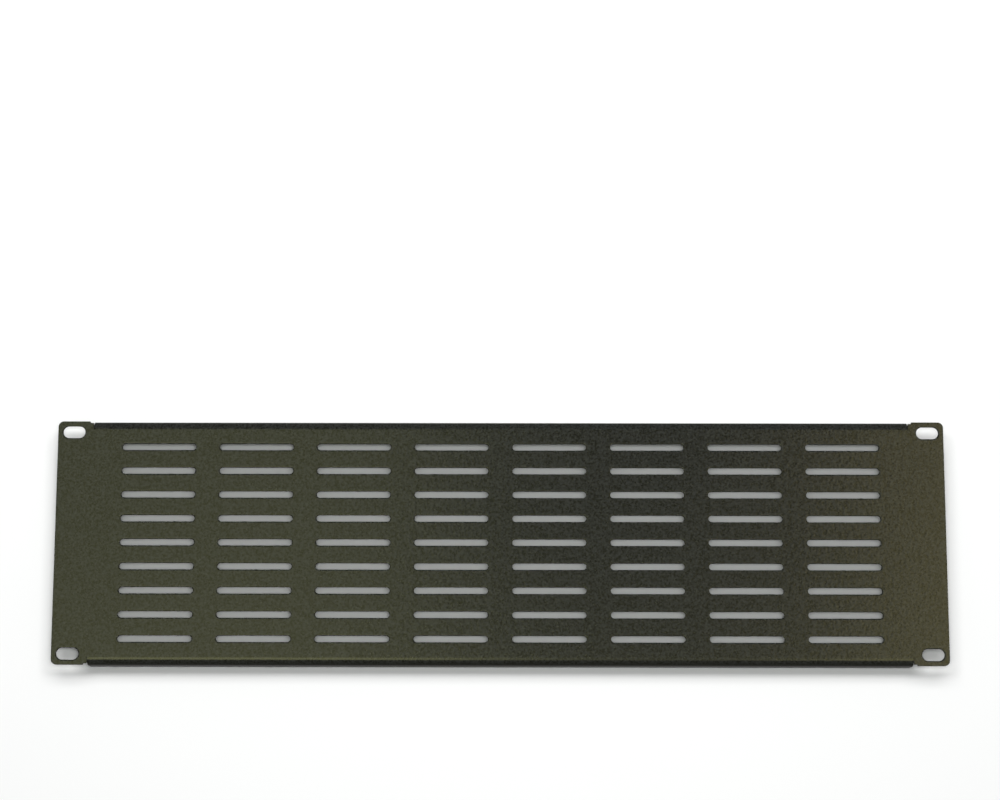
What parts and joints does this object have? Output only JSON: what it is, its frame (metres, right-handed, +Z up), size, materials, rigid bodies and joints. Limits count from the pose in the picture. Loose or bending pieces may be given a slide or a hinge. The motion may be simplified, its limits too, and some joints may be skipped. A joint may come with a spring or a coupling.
{
  "type": "rack blanking panel",
  "caption": "Vented rack blanking panel folded from one steel sheet, with a field of long round-ended slots, folded stiffening flanges at top and bottom, and slotted mounting ears.",
  "frame": {"origin": "centre of the four mounting slots, in the plane of the ears' rear faces, which bear on the rack's rails", "axes": "+X to the right as seen from the front of the rack, +Y into the rack and away from the face, +Z up"},
  "size_m": [0.4826, 0.015, 0.1326],
  "materials": {
    "panel_coat": "very dark olive-black powder coat with a fine texture, satin, slightly warm in the light"
  },
  "bodies": {
    "root": {"blanking_panel": "panel_coat"}
  },
  "joints": []
}
